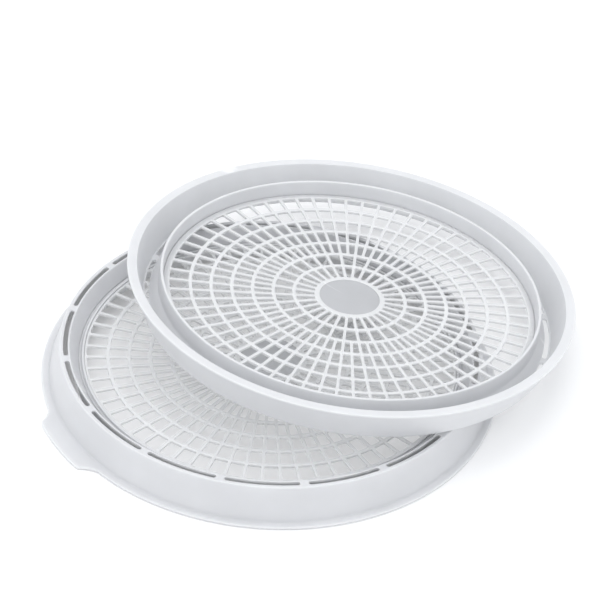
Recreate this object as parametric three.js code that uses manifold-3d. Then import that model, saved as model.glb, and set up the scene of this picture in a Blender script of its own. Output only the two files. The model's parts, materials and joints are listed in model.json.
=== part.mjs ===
// Two round stacking trays of a food dehydrator, as they are set down together: one lies on the table
// with its narrow slotted end up, and the other is turned over and leans on it.
// Each tray is a ring with an air channel in it, and a grid floor that drops into the ring's wide side.
// Millimetres, +Z up.

import * as THREE from 'three';
import { mergeVertices } from 'three/addons/utils/BufferGeometryUtils.js';
import Module from 'manifold-3d';

// Ring, measured in its own frame: the wide flange is at z = 0 and the narrow end is at the top.
const trayHeight = 26.8;
const narrowRadius = 150;
const skirtSpread = 6.8;
const flangeWidth = 5.6;
const flangeThickness = 2;
const landWidth = 7;
const landThickness = 2;
const wallThickness = 2;
const edgeEase = 0.8;

// Long slots through the narrow end, which let the air out of the channel.
const slotCount = 16;
const slotWidth = 3.6;
const slotBridge = 5.7;
const slotInset = 0.9;

// Inner wall, which steps in from the land, and the ledge that the grid floor sits against.
const seatInset = 7.8;
const ledgeCornerStep = 1.2;
const wallFreeHeight = 3.8;
const wallDraft = 1;
const ledgeThickness = 1;
const ledgeWidth = 3.9;
const lipHeight = 0.8;
const lipWidth = 1.5;

// Finger tab on the flange of the lower tray.
const tabReach = 9;
const tabFullness = 4;
const tabOverlap = 1;
const tabSpread = THREE.MathUtils.degToRad(27);
const tabAzimuth = THREE.MathUtils.degToRad(-146.9);
const tabSteps = 18;

// Grid floor.
const gridDepth = 9.9;
const gridThickness = 2.2;
const gridRimThickness = 0.9;
const gridBorder = 1.7;
const discRadius = 25.5;
const cellsPerBand = [32, 32, 64, 64, 64, 64, 64];
const ringRibWidth = 2.6;
const spokeWidth = 2.2;
const seatClearance = 0.3;

// How the two trays lie together.
const trayOffset = 72.9;
const offsetAzimuth = THREE.MathUtils.degToRad(42);
const restGap = 0.3;
const lowerRingTurn = THREE.MathUtils.degToRad(-1.6);
const lowerGridTurn = THREE.MathUtils.degToRad(3.95);
const upperRingTurn = THREE.MathUtils.degToRad(4);
const upperGridTurn = THREE.MathUtils.degToRad(-6.2);

const roundSegments = 64;
const slotSegments = 2;
const tabSegments = 4;
const cutOvershoot = 1;
const weldDistance = 1e-4;

const white = new THREE.Color(0xe6e7e9);
const shadedWhite = new THREE.Color(0xd9dad8);
const ringRoughness = 0.42;
const gridRoughness = 0.48;

// Heights and radii that follow from the sizes above.
const gridTop = trayHeight - gridDepth;
const gridBottom = gridTop - gridThickness;
const ledgeBottom = gridBottom + gridRimThickness + seatClearance;
const ledgeTop = ledgeBottom + ledgeThickness;
const skirtFootRadius = narrowRadius + skirtSpread;
const flangeRadius = skirtFootRadius + flangeWidth;
const landInnerRadius = narrowRadius - landWidth;
const landOuterRadius = narrowRadius - edgeEase;
const landEdgeRadius = landInnerRadius + edgeEase;
const channelRoof = trayHeight - landThickness;
const seatRadius = landInnerRadius - seatInset;
const ledgeCornerRadius = seatRadius + ledgeCornerStep;
const ledgeInnerRadius = ledgeCornerRadius - ledgeWidth;
const gridRadius = seatRadius - seatClearance;
const gridFieldRadius = ledgeInnerRadius - seatClearance;
const bandPitch = (gridFieldRadius - gridBorder - discRadius) / cellsPerBand.length;

const wasm = await Module();
wasm.setup();

// The skirt is a cone: its outside radius at a height above the flange face.
function skirtRadius(height) {
  const slope = (skirtFootRadius - narrowRadius) / (trayHeight - flangeThickness);
  return narrowRadius + slope * (trayHeight - height);
}

// The inner wall's face on the narrow side, between the ledge and the flat land.
function innerWallRadius(height) {
  const slope = (landInnerRadius - ledgeCornerRadius) / (trayHeight - ledgeTop);
  return ledgeCornerRadius + slope * (height - ledgeTop);
}

function toSolid(geometry) {
  const bare = geometry.clone();
  bare.deleteAttribute('normal');
  bare.deleteAttribute('uv');
  const merged = mergeVertices(bare, weldDistance);
  const vertProperties = new Float32Array(merged.attributes.position.array);
  const triVerts = new Uint32Array(merged.index.array);
  return new wasm.Manifold(new wasm.Mesh({ numProp: 3, vertProperties, triVerts }));
}

function toGeometry(solid) {
  const mesh = solid.getMesh();
  const geometry = new THREE.BufferGeometry();
  geometry.setAttribute('position', new THREE.BufferAttribute(mesh.vertProperties, 3));
  geometry.setIndex(new THREE.BufferAttribute(mesh.triVerts, 1));
  geometry.computeVertexNormals();
  return geometry;
}

// Turns a closed outline of [radius, height] points about the Z axis.
function turned(outline) {
  const points = [...outline, outline[0]].map(([radius, height]) => new THREE.Vector2(radius, height));
  const geometry = new THREE.LatheGeometry(points, roundSegments);
  return geometry.rotateX(Math.PI / 2);
}

// Raises a flat shape from one height to another.
function raised(shape, bottom, top, curveSegments) {
  const options = { depth: top - bottom, bevelEnabled: false, curveSegments };
  return new THREE.ExtrudeGeometry(shape, options).translate(0, 0, bottom);
}

function ringOutline() {
  const chamferRadius = skirtRadius(trayHeight - edgeEase);
  const freeEdgeRadius = seatRadius + wallDraft;
  return [
    [skirtRadius(0) - wallThickness, 0],
    [flangeRadius, 0],
    [flangeRadius, flangeThickness],
    [skirtFootRadius, flangeThickness],
    [chamferRadius, trayHeight - edgeEase],
    [landOuterRadius, trayHeight],
    [landEdgeRadius, trayHeight],
    [innerWallRadius(trayHeight - edgeEase), trayHeight - edgeEase],
    [ledgeCornerRadius, ledgeTop],
    [ledgeInnerRadius + lipWidth, ledgeTop],
    [ledgeInnerRadius + lipWidth, ledgeTop + lipHeight],
    [ledgeInnerRadius, ledgeTop + lipHeight],
    [ledgeInnerRadius, ledgeBottom],
    [seatRadius, ledgeBottom],
    [freeEdgeRadius, wallFreeHeight],
    [freeEdgeRadius + wallThickness, wallFreeHeight],
    [ledgeCornerRadius + wallThickness, ledgeTop],
    [innerWallRadius(channelRoof) + wallThickness, channelRoof],
    [skirtRadius(channelRoof) - wallThickness, channelRoof],
  ];
}

function slotShape(middleAngle) {
  const slotRadius = (landOuterRadius + landEdgeRadius) / 2 - slotInset;
  const inner = slotRadius - slotWidth / 2;
  const outer = slotRadius + slotWidth / 2;
  const halfSpan = Math.PI / slotCount - slotBridge / 2 / slotRadius;
  const shape = new THREE.Shape();
  shape.absarc(0, 0, outer, middleAngle - halfSpan, middleAngle + halfSpan, false);
  shape.absarc(0, 0, inner, middleAngle + halfSpan, middleAngle - halfSpan, true);
  return shape;
}

// The tab swells smoothly out of the flange and back into it.
function tabShape() {
  const root = skirtFootRadius + tabOverlap;
  const points = [];
  for (let step = 0; step <= tabSteps; step += 1) {
    const share = step / tabSteps;
    const swell = Math.min(1, tabFullness * Math.sin(Math.PI * share) ** 2);
    const angle = tabAzimuth + (share - 0.5) * tabSpread;
    const radius = flangeRadius - tabOverlap + (tabReach + tabOverlap) * swell;
    points.push(new THREE.Vector2(radius * Math.cos(angle), radius * Math.sin(angle)));
  }
  const shape = new THREE.Shape(points);
  shape.absarc(0, 0, root, tabAzimuth + tabSpread / 2, tabAzimuth - tabSpread / 2, true);
  return shape;
}

function makeRing(hasTab) {
  let solid = toSolid(turned(ringOutline()));
  for (let index = 0; index < slotCount; index += 1) {
    const shape = slotShape((index * 2 * Math.PI) / slotCount);
    const cutter = raised(shape, channelRoof - cutOvershoot, trayHeight + cutOvershoot, slotSegments);
    solid = solid.subtract(toSolid(cutter));
  }
  if (hasTab) {
    solid = solid.add(toSolid(raised(tabShape(), 0, flangeThickness, tabSegments)));
  }
  return toGeometry(solid);
}

// One cell between two spokes and two ring ribs. The spokes keep their width along their length.
function cellHole(inner, outer, middleAngle, pitchAngle) {
  const hole = new THREE.Path();
  const corner = (radius, side) => {
    const angle = middleAngle + side * (pitchAngle / 2 - Math.asin(spokeWidth / 2 / radius));
    return [radius * Math.cos(angle), radius * Math.sin(angle)];
  };
  hole.moveTo(...corner(inner, -1));
  hole.lineTo(...corner(inner, 1));
  hole.lineTo(...corner(outer, 1));
  hole.lineTo(...corner(outer, -1));
  hole.closePath();
  return hole;
}

function makeGrid() {
  const plate = new THREE.Shape();
  plate.absarc(0, 0, gridRadius, 0, 2 * Math.PI, false);
  const lastBand = cellsPerBand.length - 1;
  cellsPerBand.forEach((cells, band) => {
    const inner = discRadius + band * bandPitch + (band === 0 ? 0 : ringRibWidth / 2);
    const outer = discRadius + (band + 1) * bandPitch - (band === lastBand ? 0 : ringRibWidth / 2);
    const pitchAngle = (2 * Math.PI) / cells;
    for (let index = 0; index < cells; index += 1) {
      plate.holes.push(cellHole(inner, outer, (index + 0.5) * pitchAngle, pitchAngle));
    }
  });
  const whole = toSolid(raised(plate, gridBottom, gridTop, roundSegments / 2));
  const rebate = toSolid(turned([
    [gridFieldRadius, gridBottom + gridRimThickness],
    [gridRadius + cutOvershoot, gridBottom + gridRimThickness],
    [gridRadius + cutOvershoot, gridTop + cutOvershoot],
    [gridFieldRadius, gridTop + cutOvershoot],
  ]));
  return toGeometry(whole.subtract(rebate));
}

function plastic(color, roughness) {
  return new THREE.MeshStandardMaterial({ color, roughness, metalness: 0 });
}

function makeTray(name, hasTab, ringTurn, gridTurn, gridColor) {
  const tray = new THREE.Group();
  const ring = new THREE.Mesh(makeRing(hasTab), plastic(white, ringRoughness));
  ring.name = `${name}_ring`;
  ring.rotation.z = ringTurn;
  const grid = new THREE.Mesh(makeGrid(), plastic(gridColor, gridRoughness));
  grid.name = `${name}_grid`;
  grid.rotation.z = gridTurn;
  tray.add(ring, grid);
  return tray;
}

const lowerTray = makeTray('lower_tray', true, lowerRingTurn, lowerGridTurn, shadedWhite);
const upperTray = makeTray('upper_tray', false, upperRingTurn, upperGridTurn, white);

// The upper tray's narrow end lies across the lower tray's in two places, and its floor comes down on the
// far edge of the lower tray, so it leans by the depth of its floor over the distance between them.
const crossingReach = trayOffset / 2 - (landOuterRadius ** 2 - landEdgeRadius ** 2) / (2 * trayOffset);
const farEdgeReach = landOuterRadius - trayOffset;
const leanAngle = Math.asin(gridDepth / (crossingReach + farEdgeReach));
const narrowEndHeight = trayHeight + restGap - crossingReach * Math.tan(leanAngle);

const leanAxis = new THREE.Vector3(-Math.sin(offsetAzimuth), Math.cos(offsetAzimuth), 0);
const turnOver = new THREE.Quaternion().setFromAxisAngle(new THREE.Vector3(1, 0, 0), Math.PI);
const lean = new THREE.Quaternion().setFromAxisAngle(leanAxis, leanAngle);
const upperAxis = new THREE.Vector3(0, 0, 1).applyQuaternion(lean);

upperTray.quaternion.copy(lean).multiply(turnOver);
upperTray.position.set(
  trayOffset * Math.cos(offsetAzimuth),
  trayOffset * Math.sin(offsetAzimuth),
  narrowEndHeight,
);
upperTray.position.addScaledVector(upperAxis, trayHeight);

const trays = new THREE.Group();
trays.add(lowerTray, upperTray);

// The model's origin is under the middle of the pair, on the table.
const reach = new THREE.Box3().setFromObject(trays, true);
const middle = reach.getCenter(new THREE.Vector3());
trays.position.set(-middle.x, -middle.y, -reach.min.z);
trays.updateMatrixWorld(true);

export default trays;
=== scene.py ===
"""Two round trays of a food dehydrator, one flat and one turned over and leaning on it.

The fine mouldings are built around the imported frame: two slotted rings and two grid floors.
"""

import json
import math

import bmesh
import bpy
from bpy.props import FloatProperty, FloatVectorProperty, IntProperty, PointerProperty
from mathutils import Matrix, Quaternion, Vector


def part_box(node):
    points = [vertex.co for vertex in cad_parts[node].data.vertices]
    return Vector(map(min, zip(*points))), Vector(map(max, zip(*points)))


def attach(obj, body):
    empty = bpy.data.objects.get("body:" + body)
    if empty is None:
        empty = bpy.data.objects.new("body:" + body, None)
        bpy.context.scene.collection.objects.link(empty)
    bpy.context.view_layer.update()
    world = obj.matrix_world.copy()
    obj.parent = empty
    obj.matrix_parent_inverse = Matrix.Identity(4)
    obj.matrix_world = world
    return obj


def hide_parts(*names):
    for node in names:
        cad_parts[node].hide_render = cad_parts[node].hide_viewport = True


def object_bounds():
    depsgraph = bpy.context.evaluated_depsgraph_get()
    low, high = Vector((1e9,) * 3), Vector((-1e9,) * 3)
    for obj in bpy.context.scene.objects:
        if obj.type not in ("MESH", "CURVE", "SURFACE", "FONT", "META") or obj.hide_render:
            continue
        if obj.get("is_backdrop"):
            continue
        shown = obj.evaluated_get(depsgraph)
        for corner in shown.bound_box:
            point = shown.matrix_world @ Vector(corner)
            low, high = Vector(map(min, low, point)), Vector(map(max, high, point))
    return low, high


bl_info = {
    "name": "Food dehydrator trays",
    "version": (1, 0, 0),
    "blender": (4, 5, 0),
    "location": "View3D > Sidebar > Dryer trays",
    "description": "Builds the slotted rings and grid floors of two stacking drying trays",
    "category": "Object",
}

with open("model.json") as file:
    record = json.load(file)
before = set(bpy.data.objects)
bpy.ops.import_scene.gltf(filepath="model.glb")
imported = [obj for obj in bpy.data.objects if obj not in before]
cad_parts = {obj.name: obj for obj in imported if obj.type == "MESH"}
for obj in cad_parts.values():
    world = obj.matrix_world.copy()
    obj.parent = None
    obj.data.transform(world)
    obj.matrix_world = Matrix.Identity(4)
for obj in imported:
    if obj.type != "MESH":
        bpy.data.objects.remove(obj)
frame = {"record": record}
cad_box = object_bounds()

WELD = 2e-6
MM = 0.001


# ---------------------------------------------------------------- where the trays are

def box_size(node):
    low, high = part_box(node)
    return high - low


def box_middle(node):
    low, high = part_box(node)
    return (low + high) / 2


def mount(name):
    return next(m for m in frame["record"]["mounts"] if m["name"] == name)


TRAY_HEIGHT = box_size("lower_tray_ring").z
FLANGE_RADIUS = 162.3 * MM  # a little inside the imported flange, so nothing stands out of its box
FLANGE_THICKNESS = 2.0 * MM
GRID_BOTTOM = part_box("lower_tray_grid")[0].z
GRID_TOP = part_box("lower_tray_grid")[1].z
GRID_RADIUS = box_size("lower_tray_grid").y / 2


def lower_place():
    """The lower tray stands on its flange, so its own axis is upright."""
    middle = box_middle("lower_tray_grid")
    return Matrix.Translation((middle.x, middle.y, 0))


def upper_place():
    """The upper tray is turned over and leans: its flange face is the stacking rim."""
    rim = mount("stacking_rim")
    up = Vector(rim["axis"]).normalized()
    middle = box_middle("upper_tray_ring")
    centre = Vector((middle.x, middle.y, 0)) + up * (FLANGE_THICKNESS / 2)
    away = Vector(rim["pos_m"]) - centre
    centre.z = rim["pos_m"][2] + (up.x * away.x + up.y * away.y) / up.z
    lean = Vector((0, 0, 1)).rotation_difference(up)
    turn_over = Quaternion((1, 0, 0), math.pi)
    return Matrix.Translation(centre) @ (lean @ turn_over).to_matrix().to_4x4()


# ---------------------------------------------------------------- roundings, finish and painted edge highlight

SHOULDER_ROUNDING = 1.1 * MM
FLANGE_FILLET = 1.6 * MM
FLANGE_ROUNDING = 0.8 * MM
FOOT_ROUNDING = 0.6 * MM
CRISP_ROUNDING = 0.2 * MM
CHANNEL_FILLET = 4 * MM
WALL_END_ROUNDING = 0.9 * MM
LIP_ROUNDING = 0.45 * MM
GROOVE_ROUNDING = 0.25 * MM
SLIT_ROUNDING = 0.3 * MM
LAND_ROUNDING = 0.5 * MM
DISC_ROUNDING = 0.5 * MM
FIELD_ROUNDING = 0.35 * MM
RIM_FILLET = 0.15 * MM
RIM_ROUNDING = 0.25 * MM
SHARP_ANGLE = math.radians(50)
PLASTIC_IOR = 1.49
# Colour of the painted highlight on convex edges, where light would catch the rounded rims and ribs.
EDGE_HIGHLIGHT_COLOUR = (0.88, 0.885, 0.895, 1)
# Strength of the painted edge highlight on the disc's material.
DISC_EDGE_HIGHLIGHT = 0.2


# ---------------------------------------------------------------- sizes and colours

class RingSizes(bpy.types.PropertyGroup):
    skirt_foot: FloatProperty(
        name="Skirt foot radius", description="Outside of the skirt where it meets the flange",
        default=156.8 * MM, unit="LENGTH")
    narrow_end: FloatProperty(
        name="Narrow end radius", description="Outside of the skirt at the slotted end",
        default=150 * MM, unit="LENGTH")
    land_inner: FloatProperty(
        name="Land inner radius", description="Inner edge of the flat slotted end",
        default=143 * MM, unit="LENGTH")
    wall: FloatProperty(
        name="Wall", description="Thickness of the skirt, the land and the inner wall",
        default=2 * MM, unit="LENGTH")
    slots: IntProperty(
        name="Slots", description="Number of air slots through the narrow end", default=16, min=3)
    slot_width: FloatProperty(
        name="Slot width", description="Width of an air slot", default=3.3 * MM, unit="LENGTH")
    slot_radius: FloatProperty(
        name="Slot radius", description="Radius of the middle line of the slots",
        default=145.75 * MM, unit="LENGTH")
    slot_border_inner: FloatProperty(
        name="Slot border inner radius", description="Inner edge of the pierced strip, above",
        default=143.6 * MM, unit="LENGTH")
    slot_border_outer: FloatProperty(
        name="Slot border outer radius", description="Outer edge of the pierced strip, above",
        default=148.75 * MM, unit="LENGTH")
    channel_border_inner: FloatProperty(
        name="Channel border inner radius", description="Inner edge of the pierced strip, below",
        default=143.8 * MM, unit="LENGTH")
    channel_border_outer: FloatProperty(
        name="Channel border outer radius", description="Outer edge of the pierced strip, below",
        default=148.3 * MM, unit="LENGTH")
    slot_bridge: FloatProperty(
        name="Slot bridge", description="Plastic left between the ends of two slots",
        default=5.7 * MM, unit="LENGTH")
    groove: FloatProperty(
        name="Groove depth", description="Depth of the groove between the lip and the inner wall",
        default=1.5 * MM, unit="LENGTH")
    slit: FloatProperty(
        name="Slit depth", description="Depth of the slit below the floor of the groove",
        default=1.6 * MM, unit="LENGTH")
    seat: FloatProperty(
        name="Seat radius", description="Inside of the ring where the grid is let in",
        default=135.2 * MM, unit="LENGTH")
    ledge_inner: FloatProperty(
        name="Ledge inner radius", description="Inner edge of the ledge over the grid's rim",
        default=132.5 * MM, unit="LENGTH")
    ledge_rise: FloatProperty(
        name="Ledge rise", description="From the grid's underside to the ledge's underside",
        default=1.2 * MM, unit="LENGTH")
    lip_height: FloatProperty(
        name="Lip height", description="How far the lip stands above the top of the grid",
        default=0.8 * MM, unit="LENGTH")
    lip_outer: FloatProperty(
        name="Lip outer radius", description="Outer edge of the lip's top",
        default=134.0 * MM, unit="LENGTH")
    groove_inner: FloatProperty(
        name="Groove inner radius", description="Inner edge of the groove's floor",
        default=134.2 * MM, unit="LENGTH")
    groove_outer: FloatProperty(
        name="Groove outer radius", description="Outer edge of the groove's floor",
        default=136.8 * MM, unit="LENGTH")
    slit_inner: FloatProperty(
        name="Slit inner radius", description="Inner edge of the slit at its floor",
        default=135.9 * MM, unit="LENGTH")
    slit_outer: FloatProperty(
        name="Slit outer radius", description="Outer edge of the slit at its floor",
        default=136.7 * MM, unit="LENGTH")
    slit_draft: FloatProperty(
        name="Slit draft", description="How far the slit's inner side leans over its depth",
        default=0.1 * MM, unit="LENGTH")
    wall_foot: FloatProperty(
        name="Inner wall foot radius", description="Upper face of the inner wall at the grid's top",
        default=136.4 * MM, unit="LENGTH")
    channel_inner: FloatProperty(
        name="Channel inner radius", description="Inner side of the air channel at the grid's top",
        default=138.4 * MM, unit="LENGTH")
    free_end_height: FloatProperty(
        name="Free end height", description="Height of the free end of the inner wall",
        default=3.8 * MM, unit="LENGTH")
    free_end_outer: FloatProperty(
        name="Free end outer radius", description="Outside of the inner wall at its free end",
        default=138.2 * MM, unit="LENGTH")
    free_end_inner: FloatProperty(
        name="Free end inner radius", description="Inside of the inner wall at its free end",
        default=136.2 * MM, unit="LENGTH")
    tab_reach: FloatProperty(
        name="Tab reach", description="How far the finger tab stands out of the flange",
        default=9.0 * MM, unit="LENGTH")
    tab_azimuth: FloatProperty(
        name="Tab azimuth", description="Where the finger tab is round the lower ring",
        default=math.radians(-146.9), unit="ROTATION")
    tab_fullness: FloatProperty(
        name="Tab fullness", description="How soon the tab reaches its full length from its sides",
        default=4, min=1)
    tab_spread: FloatProperty(
        name="Tab spread", description="Angle that the finger tab takes up",
        default=math.radians(27), unit="ROTATION")
    lower_turn: FloatProperty(
        name="Lower ring turn", description="Turn of the lower ring about its axis",
        default=math.radians(-1.6), unit="ROTATION")
    upper_turn: FloatProperty(
        name="Upper ring turn", description="Turn of the upper ring about its axis",
        default=math.radians(4), unit="ROTATION")


class GridSizes(bpy.types.PropertyGroup):
    disc: FloatProperty(
        name="Disc radius", description="Radius of the solid disc in the middle",
        default=25.5 * MM, unit="LENGTH")
    pitch: FloatProperty(
        name="Band pitch", description="Distance from one ring rib to the next",
        default=15 * MM, unit="LENGTH")
    inner_bands: IntProperty(
        name="Inner bands", description="Bands of cells with the smaller spoke count",
        default=2, min=0)
    outer_bands: IntProperty(
        name="Outer bands", description="Bands of cells with the larger spoke count",
        default=5, min=1)
    inner_spokes: IntProperty(
        name="Inner spokes", description="Spokes in each inner band", default=32, min=4)
    ring_rib: FloatProperty(
        name="Ring rib width", description="Width of the round ribs", default=2.6 * MM, unit="LENGTH")
    spoke: FloatProperty(
        name="Spoke width", description="Width of the spokes", default=2.2 * MM, unit="LENGTH")
    spoke_drop: FloatProperty(
        name="Spoke drop", description="How far the spokes lie below the round ribs",
        default=0.25 * MM, unit="LENGTH")
    edge: FloatProperty(
        name="Edge rounding", description="Rounding of the ribs' edges", default=0.4 * MM, unit="LENGTH")
    corner: FloatProperty(
        name="Corner rounding", description="Rounding of the cells' corners",
        default=0.9 * MM, unit="LENGTH")
    disc_border: FloatProperty(
        name="Disc border", description="Plain strip of the disc inside the first band of cells",
        default=1.3 * MM, unit="LENGTH")
    field_border: FloatProperty(
        name="Field border", description="Plain strip outside the last band of cells",
        default=0.9 * MM, unit="LENGTH")
    disc_step: FloatProperty(
        name="Disc step", description="How far the matt middle lies below the grid's top",
        default=0.35 * MM, unit="LENGTH")
    disc_rim: FloatProperty(
        name="Disc rim", description="From the edge of the disc to its matt middle",
        default=3.5 * MM, unit="LENGTH")
    disc_slope: FloatProperty(
        name="Disc slope", description="Width of the sloping step round the matt middle",
        default=0.4 * MM, unit="LENGTH")
    rim_thickness: FloatProperty(
        name="Rim thickness", description="Thickness of the edge that sits under the ledge",
        default=0.9 * MM, unit="LENGTH")
    field: FloatProperty(
        name="Field radius", description="Radius of the full thickness part",
        default=132.2 * MM, unit="LENGTH")
    lower_turn: FloatProperty(
        name="Lower grid turn", description="Turn of the lower grid in its ring",
        default=math.radians(3.95), unit="ROTATION")
    upper_turn: FloatProperty(
        name="Upper grid turn", description="Turn of the upper grid in its ring",
        default=math.radians(-6.2), unit="ROTATION")


class FinishColours(bpy.types.PropertyGroup):
    ring: FloatVectorProperty(
        name="Ring plastic", description="Colour of the ring mouldings",
        default=(0.70, 0.705, 0.72), subtype="COLOR", min=0, max=1)
    grid: FloatVectorProperty(
        name="Grid plastic", description="Colour of the grid floors",
        default=(0.74, 0.745, 0.75), subtype="COLOR", min=0, max=1)
    # The disc colour is darker partly for its matt finish and partly as painted shade, standing in for
    # the shade under the thin disc showing through it.
    disc: FloatVectorProperty(
        name="Disc plastic with painted shade", description="Colour of the thin matt disc in the middle of a grid",
        default=(0.50, 0.505, 0.52), subtype="COLOR", min=0, max=1)
    floor: FloatVectorProperty(
        name="Floor", description="Colour of the table", default=(0.93, 0.93, 0.93),
        subtype="COLOR", min=0, max=1)


class StageSizes(bpy.types.PropertyGroup):
    aim: FloatVectorProperty(
        name="Camera aim", description="The point that the camera looks at",
        default=(-0.008117, 0.030427, 0.0268), subtype="TRANSLATION", unit="LENGTH")
    distance: FloatProperty(
        name="Camera distance", description="From the camera to the point it looks at",
        default=2.17046, unit="LENGTH")
    elevation: FloatProperty(
        name="Camera elevation", description="Angle that the camera looks down by",
        default=math.radians(37.939), unit="ROTATION")
    azimuth: FloatProperty(
        name="Camera heading", description="Direction that the camera looks in, from +X",
        default=math.radians(87.754), unit="ROTATION")
    roll: FloatProperty(
        name="Camera roll", description="Turn of the camera about its own axis",
        default=math.radians(4.401), unit="ROTATION")
    lens: FloatProperty(name="Lens", description="Focal length in millimetres", default=180)
    sensor: FloatProperty(
        name="Sensor", description="Width of the sensor in millimetres", default=36)
    table_half: FloatProperty(
        name="Table half width", description="From the middle of the table to its edge",
        default=3.0, unit="LENGTH")
    table_drop: FloatProperty(
        name="Table drop", description="Gap between the lower tray and the table",
        default=0.4 * MM, unit="LENGTH")
    table_glow: FloatProperty(
        name="Table glow", description="Strength of the light that the table gives off", default=0.1)
    backing: FloatVectorProperty(
        name="Backing colour", description="Colour of the light from all round",
        default=(0.95, 0.97, 1), subtype="COLOR", min=0, max=1)
    backing_strength: FloatProperty(
        name="Backing strength", description="Strength of the light from all round", default=0.82)


# ---------------------------------------------------------------- outlines

def rounded_path(points, steps=4):
    """Rounds the corners of a path of (radius, height, rounding) points with arcs."""
    path = [Vector(points[0][:2])]
    for before, corner, after in zip(points, points[1:], points[2:]):
        here = Vector(corner[:2])
        into = (here - Vector(before[:2])).normalized()
        out = (Vector(after[:2]) - here).normalized()
        turn = into.angle(out)
        rounding = corner[2]
        if rounding == 0 or turn < 1e-4:
            path.append(here)
            continue
        back = rounding * math.tan(turn / 2)
        side = 1 if into.x * out.y - into.y * out.x > 0 else -1
        normal = Vector((-into.y, into.x)) * side
        centre = here - into * back + normal * rounding
        for step in range(steps + 1):
            angle = turn * step / steps
            spoke = -normal * math.cos(angle) + into * math.sin(angle)
            path.append(centre + spoke * rounding)
    path.append(Vector(points[-1][:2]))
    return path


def turned_strip(target, path, angles, reach=None):
    """Adds the surface that a path of (radius, height) sweeps when it turns about Z."""
    columns = []
    for angle in angles:
        column = []
        for radius, height in path:
            out = radius + (reach(radius, angle) if reach else 0)
            column.append(target.verts.new((out * math.cos(angle), out * math.sin(angle), height)))
        columns.append(column)
    for left, right in zip(columns, columns[1:] + columns[:1]):
        for low in range(len(path) - 1):
            corners = [left[low], left[low + 1], right[low + 1], right[low]]
            target.faces.new(corners)


# ---------------------------------------------------------------- pierced tiles

def polar(radius, angle):
    return Vector((radius * math.cos(angle), radius * math.sin(angle)))


def outward_normals(outline):
    """Unit normals of a closed flat outline, pointing away from the hole that it bounds."""
    normals = []
    for before, here, after in zip(outline[-1:] + outline[:-1], outline, outline[1:] + outline[:1]):
        along = (here - before).normalized() + (after - here).normalized()
        normals.append(Vector((along.y, -along.x)).normalized())
    middle = sum(outline, Vector((0, 0))) / len(outline)
    if sum((point - middle).dot(normal) for point, normal in zip(outline, normals)) < 0:
        normals = [-normal for normal in normals]
    return normals


def pierced_tile(name, hole, border_top, border_bottom, top, bottom, edge, drops):
    """One sector of a plate with a hole in it, its edges rounded above and below.

    The borders and the hole have the same number of points. Drops say how far each border
    point lies in from the faces.
    """
    tile = bmesh.new()
    normals = outward_normals(hole)
    quarter = 1 - math.sqrt(0.5)
    steps = [(edge, 0), (edge * quarter, edge * quarter), (0, edge)]
    loops = [[tile.verts.new((p.x, p.y, top - d)) for p, d in zip(border_top, drops)]]
    for out, down in steps:
        ring = [p + n * out for p, n in zip(hole, normals)]
        loops.append([tile.verts.new((p.x, p.y, top - down)) for p in ring])
    for out, up in reversed(steps):
        ring = [p + n * out for p, n in zip(hole, normals)]
        loops.append([tile.verts.new((p.x, p.y, bottom + up)) for p in ring])
    loops.append([tile.verts.new((p.x, p.y, bottom + d)) for p, d in zip(border_bottom, drops)])
    count = len(hole)
    for upper, lower in zip(loops, loops[1:]):
        for index in range(count):
            after = (index + 1) % count
            tile.faces.new([upper[index], upper[after], lower[after], lower[index]])
    mesh = bpy.data.meshes.new(name)
    tile.to_mesh(mesh)
    tile.free()
    return mesh


def repeat_tree(name, material):
    """A node tree that sets copies of its input round the Z axis."""
    tree = bpy.data.node_groups.new(name, "GeometryNodeTree")
    face = tree.interface
    face.new_socket("Geometry", in_out="INPUT", socket_type="NodeSocketGeometry")
    count = face.new_socket("Count", in_out="INPUT", socket_type="NodeSocketInt")
    count.default_value = 1
    face.new_socket("Geometry", in_out="OUTPUT", socket_type="NodeSocketGeometry")
    nodes = tree.nodes
    links = tree.links
    start = nodes.new("NodeGroupInput")
    end = nodes.new("NodeGroupOutput")
    points = nodes.new("GeometryNodePoints")
    index = nodes.new("GeometryNodeInputIndex")
    share = nodes.new("ShaderNodeMath")
    share.operation = "DIVIDE"
    angle = nodes.new("ShaderNodeMath")
    angle.operation = "MULTIPLY"
    angle.inputs[1].default_value = 2 * math.pi
    turn = nodes.new("ShaderNodeCombineXYZ")
    copies = nodes.new("GeometryNodeInstanceOnPoints")
    real = nodes.new("GeometryNodeRealizeInstances")
    finish = nodes.new("GeometryNodeSetMaterial")
    finish.inputs["Material"].default_value = material
    links.new(start.outputs["Count"], points.inputs["Count"])
    links.new(index.outputs["Index"], share.inputs[0])
    links.new(start.outputs["Count"], share.inputs[1])
    links.new(share.outputs["Value"], angle.inputs[0])
    links.new(angle.outputs["Value"], turn.inputs["Z"])
    links.new(points.outputs["Points"], copies.inputs["Points"])
    links.new(start.outputs["Geometry"], copies.inputs["Instance"])
    links.new(turn.outputs["Vector"], copies.inputs["Rotation"])
    links.new(copies.outputs["Instances"], real.inputs["Geometry"])
    links.new(real.outputs["Geometry"], finish.inputs["Geometry"])
    links.new(finish.outputs["Geometry"], end.inputs["Geometry"])
    return tree, count.identifier


def repeated(tile, count, material):
    """The plain mesh of a tile repeated round the axis."""
    holder = bpy.data.objects.new(tile.name, tile)
    bpy.context.scene.collection.objects.link(holder)
    tree, count_socket = repeat_tree(f"{tile.name} round the axis", material)
    modifier = holder.modifiers.new("Repeat", "NODES")
    modifier.node_group = tree
    modifier[count_socket] = count
    view = bpy.context.evaluated_depsgraph_get()
    mesh = bpy.data.meshes.new_from_object(holder.evaluated_get(view))
    bpy.data.objects.remove(holder)
    bpy.data.node_groups.remove(tree)
    return mesh


# ---------------------------------------------------------------- the ring

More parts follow.
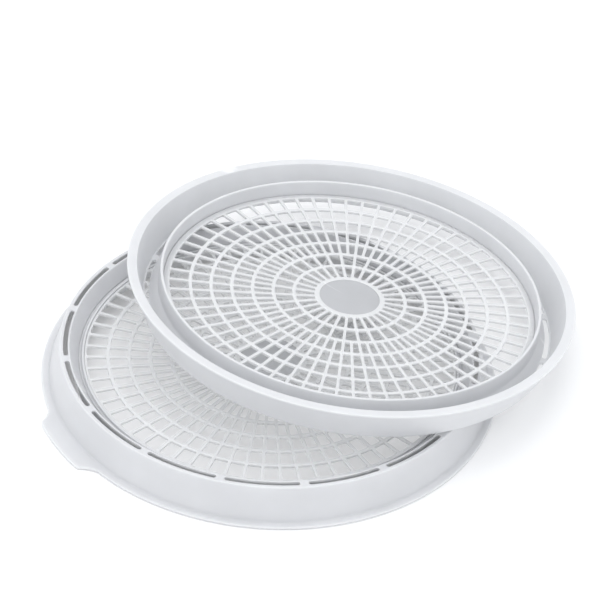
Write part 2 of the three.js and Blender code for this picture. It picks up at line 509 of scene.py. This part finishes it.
def land_inner_wall(ring, height):
    """Radius of the inner wall's upper face, between the groove and the land."""
    share = (height - GRID_TOP) / (TRAY_HEIGHT - GRID_TOP)
    return ring.wall_foot + (ring.land_inner - ring.wall_foot) * share


def skirt_outside(ring, height):
    """Radius of the skirt's outside at a height."""
    share = (TRAY_HEIGHT - height) / (TRAY_HEIGHT - FLANGE_THICKNESS)
    return ring.narrow_end + (ring.skirt_foot - ring.narrow_end) * share


def slot_tile(ring, borders):
    """The slotted land, one slot of it."""
    pitch = math.pi / ring.slots
    columns = 16
    half_width = ring.slot_width / 2
    half_span = pitch - (ring.slot_bridge / 2 + half_width) / ring.slot_radius
    shares = [2 * step / columns - 1 for step in range(columns + 1)]
    cap = [math.radians(degrees) for degrees in (45, 90, 135)]
    outer = [polar(ring.slot_radius + half_width, share * half_span) for share in shares]
    inner = [polar(ring.slot_radius - half_width, share * half_span) for share in reversed(shares)]

    def cap_points(side, turns):
        middle = polar(ring.slot_radius, side * half_span)
        out = polar(1, side * half_span)
        along = Vector((-out.y, out.x)) * side
        return [middle + (out * math.cos(t) + along * math.sin(t)) * half_width for t in turns]

    hole = outer + cap_points(1, cap) + inner + cap_points(-1, reversed(cap))

    def border(inside, outside):
        across = [outside + (inside - outside) * share for share in (0.25, 0.5, 0.75)]
        return (
            [polar(outside, share * pitch) for share in shares]
            + [polar(radius, pitch) for radius in across]
            + [polar(inside, share * pitch) for share in reversed(shares)]
            + [polar(radius, -pitch) for radius in reversed(across)]
        )

    drops = [0] * len(hole)
    return pierced_tile(
        "slotted_land", hole, border(*borders[0]), border(*borders[1]),
        TRAY_HEIGHT, TRAY_HEIGHT - ring.wall, CRISP_ROUNDING, drops)


def ring_moulding(name, ring, place, has_tab, material):
    """The whole ring: flange, skirt, slotted land, inner wall, groove, lip and ledge."""
    top_border = (ring.slot_border_inner, ring.slot_border_outer)
    bottom_border = (ring.channel_border_inner, ring.channel_border_outer)
    roof = TRAY_HEIGHT - ring.wall
    ledge_bottom = GRID_BOTTOM + ring.ledge_rise
    lip_top = GRID_TOP + ring.lip_height
    groove_floor = lip_top - ring.groove
    slit_floor = groove_floor - ring.slit
    outside = rounded_path([
        (top_border[1], TRAY_HEIGHT, 0),
        (ring.narrow_end, TRAY_HEIGHT, SHOULDER_ROUNDING),
        (ring.skirt_foot, FLANGE_THICKNESS, FLANGE_FILLET),
        (FLANGE_RADIUS, FLANGE_THICKNESS, FLANGE_ROUNDING),
        (FLANGE_RADIUS, 0, FLANGE_ROUNDING),
        (skirt_outside(ring, 0) - ring.wall, 0, FOOT_ROUNDING),
        (skirt_outside(ring, roof) - ring.wall, roof, CRISP_ROUNDING),
        (bottom_border[1], roof, 0),
    ])
    inside = rounded_path([
        (bottom_border[0], roof, 0),
        (land_inner_wall(ring, roof) + ring.wall, roof, CRISP_ROUNDING),
        (ring.channel_inner, GRID_TOP, CHANNEL_FILLET),
        (ring.free_end_outer, ring.free_end_height, WALL_END_ROUNDING),
        (ring.free_end_inner, ring.free_end_height, WALL_END_ROUNDING),
        (ring.seat, ledge_bottom, CRISP_ROUNDING),
        (ring.ledge_inner, ledge_bottom, CRISP_ROUNDING),
        (ring.ledge_inner, lip_top, LIP_ROUNDING),
        (ring.lip_outer, lip_top, LIP_ROUNDING),
        (ring.groove_inner, groove_floor, GROOVE_ROUNDING),
        (ring.slit_inner - ring.slit_draft, groove_floor, CRISP_ROUNDING),
        (ring.slit_inner, slit_floor, SLIT_ROUNDING),
        (ring.slit_outer, slit_floor, SLIT_ROUNDING),
        (ring.groove_outer, groove_floor, SLIT_ROUNDING),
        (ring.land_inner, TRAY_HEIGHT, LAND_ROUNDING),
        (top_border[0], TRAY_HEIGHT, 0),
    ])

    def tab(radius, angle):
        if not has_tab or radius < ring.skirt_foot:
            return 0
        turn = math.remainder(angle - ring.tab_azimuth, 2 * math.pi) / ring.tab_spread
        if abs(turn) >= 0.5:
            return 0
        swell = min(1, ring.tab_fullness * math.sin(math.pi * (turn + 0.5)) ** 2)
        share = (radius - ring.skirt_foot) / (FLANGE_RADIUS - ring.skirt_foot)
        return ring.tab_reach * swell * share ** 2

    columns = ring.slots * 16
    angles = [2 * math.pi * step / columns for step in range(columns)]
    body = bmesh.new()
    turned_strip(body, outside, angles, tab)
    turned_strip(body, inside, angles)
    tile = slot_tile(ring, (top_border, bottom_border))
    body.from_mesh(repeated(tile, ring.slots, material))
    return finished(name, body, place, (material,))


# ---------------------------------------------------------------- the grid floor

CELL_SHARES = (-1, -0.55, 0, 0.55, 1)


def arc_shares(doubled):
    """Where the columns of a cell lie across it; a doubled cell meets two narrow ones."""
    if not doubled:
        return list(CELL_SHARES)
    left = [(share - 1) / 2 for share in CELL_SHARES]
    right = [(share + 1) / 2 for share in CELL_SHARES]
    return left + right[1:]


def cell_tile(name, grid, cells, inner, outer, borders, doubled):
    """The ribs round one cell: half a spoke on each side, and half a ring rib above and below."""
    half = math.pi / cells
    shares = arc_shares(doubled)
    corner = grid.corner

    def side_angle(radius):
        return half - math.asin(grid.spoke / 2 / radius)

    def arc(radius, inward):
        cut = (1 - math.sqrt(0.5)) * corner
        corner_radius = radius + inward * cut
        full = side_angle(radius)
        straight = full - corner / radius
        inner_share = shares[-2]
        points = []
        for share in shares:
            if abs(share) == 1:
                points.append(polar(corner_radius, share * (full - cut / radius)))
            else:
                points.append(polar(radius, share / inner_share * straight))
        return points

    sides = [outer - corner, inner + corner]
    hole = (
        arc(outer, -1)
        + [polar(radius, side_angle(radius)) for radius in sides]
        + arc(inner, 1)[::-1]
        + [polar(radius, -side_angle(radius)) for radius in reversed(sides)]
    )
    border = (
        [polar(borders[1], share * half) for share in shares]
        + [polar(radius, half) for radius in sides]
        + [polar(borders[0], share * half) for share in reversed(shares)]
        + [polar(radius, -half) for radius in reversed(sides)]
    )
    drops = [0] * len(shares) + [grid.spoke_drop] * 2
    return pierced_tile(
        name, hole, border, border, GRID_TOP, GRID_BOTTOM, grid.edge, drops * 2)


def grid_moulding(name, grid, place, materials):
    """The grid floor: disc, bands of cells and the thin rim that sits on the ledge."""
    outer_spokes = grid.inner_spokes * 2
    bands = grid.inner_bands + grid.outer_bands
    rib = grid.ring_rib / 2
    edges = [grid.disc + band * grid.pitch for band in range(bands + 1)]
    borders = [grid.disc - grid.disc_border] + edges[1:-1] + [edges[-1] + grid.field_border]
    body = bmesh.new()
    for band in range(bands):
        inner = edges[band] + (rib if band else 0)
        outer = edges[band + 1] - (rib if band < bands - 1 else 0)
        doubled = band < grid.inner_bands
        cells = grid.inner_spokes if doubled else outer_spokes
        half = math.pi / cells
        tile = cell_tile(
            f"cell_band_{band + 1}", grid, cells, inner, outer, borders[band:band + 2], doubled)
        tile.transform(Matrix.Rotation(half, 4, "Z"))
        body.from_mesh(repeated(tile, cells, materials[0]))
    half = math.pi / outer_spokes
    angles = [
        (2 * cell + 1 + share) * half
        for cell in range(outer_spokes) for share in CELL_SHARES[:-1]
    ]
    recess = grid.disc - grid.disc_rim
    disc = rounded_path([
        (0, GRID_TOP - grid.disc_step, 0),
        (recess - grid.disc_slope, GRID_TOP - grid.disc_step, DISC_ROUNDING),
        (recess, GRID_TOP, DISC_ROUNDING),
        (borders[0], GRID_TOP, 0),
    ], 3)
    underside = [Vector((p.x, GRID_TOP + GRID_BOTTOM - p.y)) for p in disc]
    for surface in (disc, underside):
        centre = body.verts.new((0, 0, surface[0].y))
        columns = [
            [body.verts.new((p.x * math.cos(a), p.x * math.sin(a), p.y)) for p in surface[1:]]
            for a in angles
        ]
        for left, right in zip(columns, columns[1:] + columns[:1]):
            body.faces.new([centre, left[0], right[0]])
            for low in range(len(left) - 1):
                body.faces.new([left[low], left[low + 1], right[low + 1], right[low]])
    rim_top = GRID_BOTTOM + grid.rim_thickness
    rim = rounded_path([
        (borders[-1], GRID_TOP, 0),
        (grid.field, GRID_TOP, FIELD_ROUNDING),
        (grid.field, rim_top, RIM_FILLET),
        (GRID_RADIUS, rim_top, RIM_ROUNDING),
        (GRID_RADIUS, GRID_BOTTOM, RIM_ROUNDING),
        (borders[-1], GRID_BOTTOM, 0),
    ])
    turned_strip(body, rim, angles)
    for face in body.faces:
        # The matt middle takes the second material, whose darker colour is partly painted shade.
        face.material_index = int(face.calc_center_median().xy.length < recess)
    return finished(name, body, place, materials)


def finished(name, body, place, materials):
    """Welds a body, turns its faces outward, puts it in place and smooths it."""
    bmesh.ops.remove_doubles(body, verts=body.verts, dist=WELD)
    bmesh.ops.recalc_face_normals(body, faces=body.faces)
    open_edges = sum(1 for edge in body.edges if len(edge.link_faces) != 2)
    if open_edges:
        raise RuntimeError(f"{name} has {open_edges} open edges")
    mesh = bpy.data.meshes.new(name)
    body.to_mesh(mesh)
    body.free()
    mesh.transform(place)
    for material in materials:
        mesh.materials.append(material)
    mesh.shade_smooth()
    mesh.set_sharp_from_angle(angle=SHARP_ANGLE)
    piece = bpy.data.objects.new(name, mesh)
    bpy.context.scene.collection.objects.link(piece)
    normals = piece.modifiers.new("Flat faces", "WEIGHTED_NORMAL")
    normals.keep_sharp = True
    normals.weight = 80
    return piece


# ---------------------------------------------------------------- materials

def moulded_plastic(name, colour, grain, wave, edge_highlight=0.75):
    """White moulded plastic: faint cloudiness, satin gloss, fine grain and a painted highlight on convex
    edges.
    """
    material = bpy.data.materials.new(name)
    material.use_nodes = True
    nodes = material.node_tree.nodes
    links = material.node_tree.links
    shader = nodes["Principled BSDF"]
    place = nodes.new("ShaderNodeTexCoord")

    def noise(scale, detail, roughness):
        node = nodes.new("ShaderNodeTexNoise")
        node.inputs["Scale"].default_value = scale
        node.inputs["Detail"].default_value = detail
        node.inputs["Roughness"].default_value = roughness
        links.new(place.outputs["Object"], node.inputs["Vector"])
        return node.outputs["Fac"]

    def ranged(value, low, high):
        node = nodes.new("ShaderNodeMapRange")
        node.inputs["From Min"].default_value = 0.3
        node.inputs["From Max"].default_value = 0.7
        node.inputs["To Min"].default_value = low
        node.inputs["To Max"].default_value = high
        links.new(value, node.inputs["Value"])
        return node.outputs["Result"]

    cloud = nodes.new("ShaderNodeMix")
    cloud.data_type = "RGBA"
    cloud.inputs["A"].default_value = (*[c * 0.965 for c in colour], 1)
    cloud.inputs["B"].default_value = (*[min(1, c * 1.03) for c in colour], 1)
    links.new(ranged(noise(24, 3, 0.55), 0, 1), cloud.inputs["Factor"])

    # Painted highlight: convex edges, found by pointiness, are mixed towards a paler colour where light
    # would catch them.
    painted_edge_highlight = nodes.new("ShaderNodeMix")
    painted_edge_highlight.data_type = "RGBA"
    painted_edge_highlight.inputs["B"].default_value = EDGE_HIGHLIGHT_COLOUR
    geometry = nodes.new("ShaderNodeNewGeometry")
    edge = nodes.new("ShaderNodeMapRange")
    edge.inputs["From Min"].default_value = 0.505
    edge.inputs["From Max"].default_value = 0.58
    edge.inputs["To Max"].default_value = edge_highlight
    links.new(geometry.outputs["Pointiness"], edge.inputs["Value"])
    links.new(edge.outputs["Result"], painted_edge_highlight.inputs["Factor"])
    links.new(cloud.outputs["Result"], painted_edge_highlight.inputs["A"])
    links.new(painted_edge_highlight.outputs["Result"], shader.inputs["Base Color"])

    links.new(ranged(noise(60, 4, 0.6), 0.36, 0.5), shader.inputs["Roughness"])
    shader.inputs["IOR"].default_value = PLASTIC_IOR
    shader.inputs["Subsurface Weight"].default_value = 0.7
    shader.inputs["Subsurface Radius"].default_value = (1.0, 1.0, 0.95)
    shader.inputs["Subsurface Scale"].default_value = 0.005

    fine = nodes.new("ShaderNodeBump")
    fine.inputs["Strength"].default_value = 0.12
    fine.inputs["Distance"].default_value = 0.0002
    links.new(noise(grain, 2, 0.5), fine.inputs["Height"])
    slow = nodes.new("ShaderNodeBump")
    slow.inputs["Strength"].default_value = 0.2
    slow.inputs["Distance"].default_value = 0.001
    links.new(noise(wave, 2, 0.5), slow.inputs["Height"])
    links.new(fine.outputs["Normal"], slow.inputs["Normal"])
    links.new(slow.outputs["Normal"], shader.inputs["Normal"])
    return material


def table_paint(colour, glow):
    """A pale matt paint with a faint glow of its own."""
    material = bpy.data.materials.new("table")
    material.use_nodes = True
    shader = material.node_tree.nodes["Principled BSDF"]
    shader.inputs["Base Color"].default_value = (*colour, 1)
    shader.inputs["Roughness"].default_value = 0.8
    shader.inputs["Emission Color"].default_value = (1, 1, 1, 1)
    shader.inputs["Emission Strength"].default_value = glow
    shader.inputs["Specular IOR Level"].default_value = 0.2
    return material


# ---------------------------------------------------------------- operators

TRAYS = (
    ("lower", lower_place, True, "lower_tray", "lower_tray"),
    ("upper", upper_place, False, "upper_tray", "upper_floor"),
)


class DRYER_OT_rings(bpy.types.Operator):
    """Build the slotted ring mouldings of both trays"""

    bl_idname = "dryer.rings"
    bl_label = "Ring mouldings"

    def execute(self, context):
        ring = context.scene.dryer_ring
        colour = context.scene.dryer_colours.ring
        material = moulded_plastic("ring plastic", colour, 900, 14)
        turns = {"lower": ring.lower_turn, "upper": ring.upper_turn}
        for tray, place, has_tab, body, _ in TRAYS:
            turned = place() @ Matrix.Rotation(turns[tray], 4, "Z")
            piece = ring_moulding(f"{tray}_ring_moulding", ring, turned, has_tab, material)
            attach(piece, body)
            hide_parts(f"{tray}_tray_ring")
        return {"FINISHED"}


class DRYER_OT_grids(bpy.types.Operator):
    """Build the grid floors of both trays"""

    bl_idname = "dryer.grids"
    bl_label = "Grid floors"

    def execute(self, context):
        grid = context.scene.dryer_grid
        colour = context.scene.dryer_colours.grid
        material = moulded_plastic("grid plastic", colour, 1100, 20)
        # The disc material: a darker colour that is partly painted shade, and a weaker painted edge
        # highlight.
        matt = moulded_plastic(
            "disc plastic with painted shade", context.scene.dryer_colours.disc, 1500, 90, DISC_EDGE_HIGHLIGHT)
        turns = {"lower": grid.lower_turn, "upper": grid.upper_turn}
        for tray, place, _, _, body in TRAYS:
            turned = place() @ Matrix.Rotation(turns[tray], 4, "Z")
            piece = grid_moulding(f"{tray}_grid_moulding", grid, turned, (material, matt))
            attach(piece, body)
            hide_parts(f"{tray}_tray_grid")
        return {"FINISHED"}


# name, place and disc size in metres, power in watts
LAMPS = (
    ("front", (-0.5, -2.6, 1.9), 3.0, 10),
    ("top", (-0.2, 0.2, 2.6), 4.0, 34),
)


class DRYER_OT_stage(bpy.types.Operator):
    """Set the table, the soft lights and the camera"""

    bl_idname = "dryer.stage"
    bl_label = "Stage"

    def execute(self, context):
        scene = context.scene
        stage = scene.dryer_stage
        table = bmesh.new()
        bmesh.ops.create_grid(table, x_segments=1, y_segments=1, size=stage.table_half)
        mesh = bpy.data.meshes.new("table")
        table.to_mesh(mesh)
        table.free()
        mesh.transform(Matrix.Translation((0, 0, -stage.table_drop)))
        mesh.materials.append(table_paint(scene.dryer_colours.floor, stage.table_glow))
        floor = bpy.data.objects.new("table", mesh)
        scene.collection.objects.link(floor)
        floor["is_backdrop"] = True

        world = scene.world or bpy.data.worlds.new("Studio")
        scene.world = world
        world.use_nodes = True
        backing = world.node_tree.nodes["Background"]
        backing.inputs["Color"].default_value = (*stage.backing, 1)
        backing.inputs["Strength"].default_value = stage.backing_strength

        for lamp in LAMPS:
            self.light(scene, *lamp)
        self.camera(scene, stage)
        scene.view_settings.view_transform = "Standard"
        return {"FINISHED"}

    def light(self, scene, name, place, size, power):
        """Adds a round soft lamp that faces the trays."""
        data = bpy.data.lights.new(name, "AREA")
        data.shape = "DISK"
        data.size = size
        data.energy = power
        lamp = bpy.data.objects.new(name, data)
        lamp.location = place
        aim = Vector((0, 0, 0)) - Vector(place)
        lamp.rotation_euler = aim.to_track_quat("-Z", "Y").to_euler()
        scene.collection.objects.link(lamp)

    def camera(self, scene, stage):
        """Stands at the set distance from the point that it looks at."""
        data = bpy.data.cameras.new("camera")
        data.lens = stage.lens
        data.sensor_width = stage.sensor
        camera = bpy.data.objects.new("camera", data)
        look = Vector((
            math.cos(stage.elevation) * math.cos(stage.azimuth),
            math.cos(stage.elevation) * math.sin(stage.azimuth),
            -math.sin(stage.elevation),
        ))
        facing = look.to_track_quat("-Z", "Y")
        camera.rotation_mode = "QUATERNION"
        camera.rotation_quaternion = facing @ Quaternion((0, 0, 1), stage.roll)
        camera.location = Vector(stage.aim) - look * stage.distance
        scene.collection.objects.link(camera)
        scene.camera = camera


class DRYER_PT_panel(bpy.types.Panel):
    """Lists the operators in the order that they are run"""

    bl_idname = "DRYER_PT_panel"
    bl_label = "Dryer trays"
    bl_space_type = "VIEW_3D"
    bl_region_type = "UI"
    bl_category = "Dryer trays"

    def draw(self, context):
        layout = self.layout
        for operator in (DRYER_OT_rings, DRYER_OT_grids, DRYER_OT_stage):
            layout.operator(operator.bl_idname)


GROUPS = {
    "dryer_ring": RingSizes,
    "dryer_grid": GridSizes,
    "dryer_colours": FinishColours,
    "dryer_stage": StageSizes,
}
TOOLS = (DRYER_OT_rings, DRYER_OT_grids, DRYER_OT_stage, DRYER_PT_panel)


def register():
    for name, group in GROUPS.items():
        bpy.utils.register_class(group)
        setattr(bpy.types.Scene, name, PointerProperty(type=group))
    for tool in TOOLS:
        bpy.utils.register_class(tool)


def unregister():
    for tool in reversed(TOOLS):
        bpy.utils.unregister_class(tool)
    for name, group in reversed(GROUPS.items()):
        delattr(bpy.types.Scene, name)
        bpy.utils.unregister_class(group)


def corners(box):
    return [list(corner) for corner in box]


def main():
    register()
    bpy.ops.dryer.rings()
    bpy.ops.dryer.grids()
    bpy.ops.dryer.stage()
    {"cad": corners(cad_box), "visual": corners(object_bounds())}


if __name__ == "__main__":
    main()
